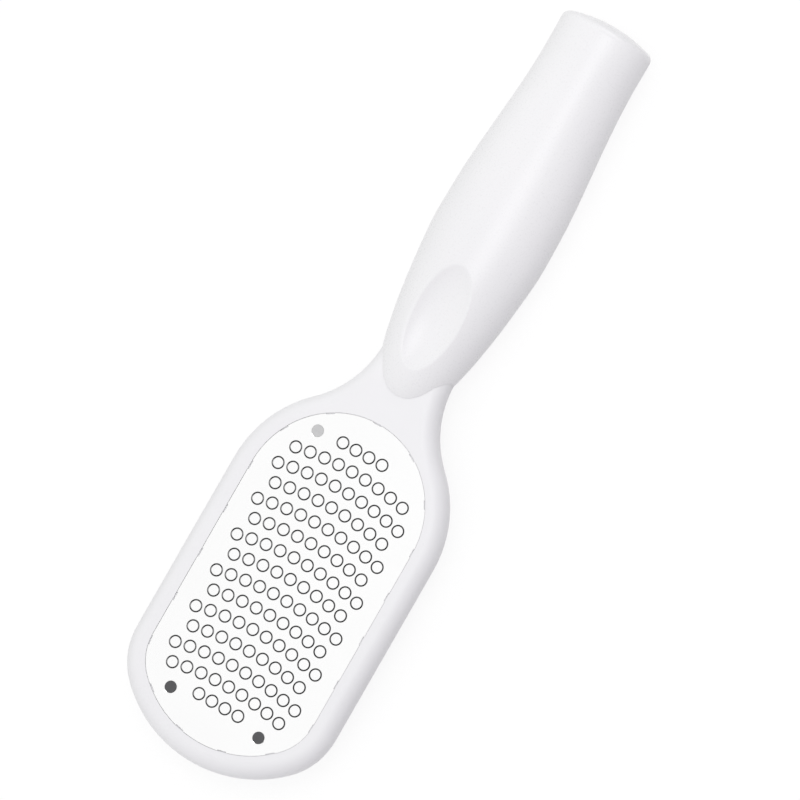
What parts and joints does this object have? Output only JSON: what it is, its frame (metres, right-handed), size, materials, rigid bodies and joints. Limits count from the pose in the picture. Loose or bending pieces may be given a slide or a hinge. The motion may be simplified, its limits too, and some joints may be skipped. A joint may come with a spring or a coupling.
{
  "type": "foot file",
  "caption": "Hand-held foot file: a rounded paddle with a flush stainless rasp plate of raised cutting rings, on a swelling oval grip with a thumb dish.",
  "frame": {"origin": "centre of the tool's box, on the surface it lies on", "axes": "+Y along the tool from the head to the end of the grip, +Z out of the rasp plate, X across the head"},
  "size_m": [0.0588, 0.212, 0.022],
  "materials": {
    "white_abs": "satin white moulded ABS",
    "stainless_sheet": "bright stainless sheet with raised cutting rings",
    "rivet_steel": "plain steel, darker than the sheet",
    "zinc_steel": "zinc-plated screw steel"
  },
  "bodies": {
    "root": {"paddle": "white_abs", "back_panel": "white_abs", "grip_front": "white_abs", "grip_back": "white_abs", "screw_plug_1": "white_abs", "screw_plug_2": "white_abs", "rasp_plate": "stainless_sheet", "plate_rivet_1": "rivet_steel", "plate_rivet_2": "rivet_steel", "plate_rivet_3": "rivet_steel", "rivet_washer_1": "rivet_steel", "rivet_washer_2": "rivet_steel", "rivet_washer_3": "rivet_steel", "grip_screw_1": "zinc_steel", "grip_screw_2": "zinc_steel"}
  },
  "joints": []
}
